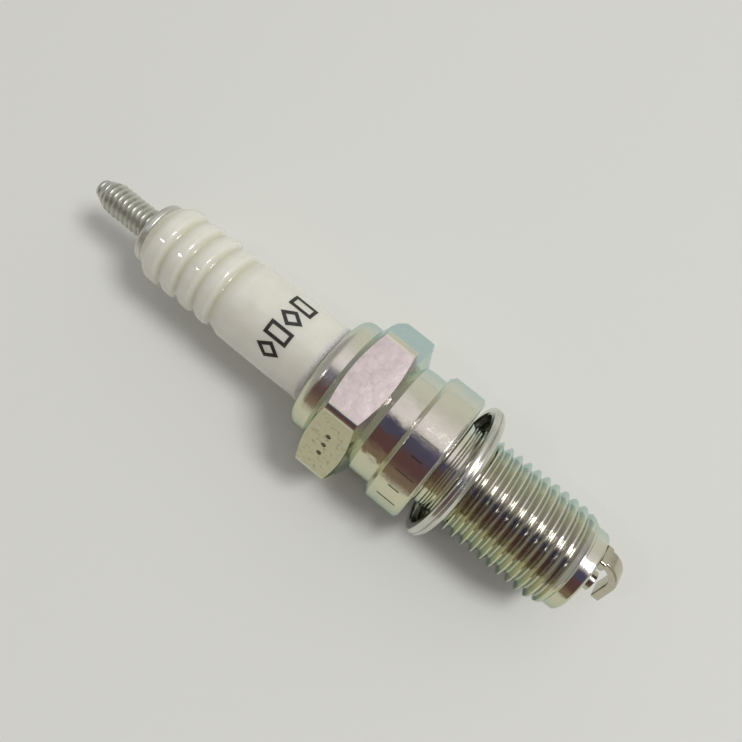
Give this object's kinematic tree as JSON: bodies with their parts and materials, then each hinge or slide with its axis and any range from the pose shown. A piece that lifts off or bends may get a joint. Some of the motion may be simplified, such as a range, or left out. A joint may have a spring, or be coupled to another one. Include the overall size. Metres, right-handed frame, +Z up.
{
  "type": "spark plug",
  "caption": "Threaded engine spark plug with ribbed ceramic insulator, hexagon shell, loose crush gasket, bare terminal stud and hooked ground electrode.",
  "frame": {"origin": "on the plug's axis, in the plane of the gasket seat", "axes": "+X along the plug's axis towards the firing end, +Z up with the plug lying on one flat of its hexagon"},
  "size_m": [0.0734, 0.0202, 0.0178],
  "materials": {
    "zinc_plated_steel": "turned steel with a thin iridescent zinc passivation",
    "nickel_alloy": "satin nickel alloy",
    "gasket_steel": "bright rolled steel",
    "alumina": null,
    "packing_steel": "plain drawn wire",
    "talc": "pressed powder",
    "copper": "plain copper",
    "seal_glass": "fused dark conductive glass",
    "stud_steel": "dull plated steel"
  },
  "bodies": {
    "plug": {"metal_shell": "zinc_plated_steel", "ground_electrode": "nickel_alloy", "insulator": "alumina", "upper_packing_ring": "packing_steel", "talc_packing": "talc", "lower_packing_ring": "packing_steel", "seat_packing_washer": "packing_steel", "center_electrode": "nickel_alloy", "copper_core": "copper", "glass_seal": "seal_glass", "terminal_stud": "stud_steel"},
    "gasket": {"crush_gasket": "gasket_steel"}
  },
  "joints": [
    {"name": "gasket_rock", "type": "hinge", "parent": "plug", "child": "gasket", "pos_m": [0.00005, 0.00363, -0.00698], "axis": [0, -0.887, -0.4617], "range_deg": [0, 8.6]}
  ]
}
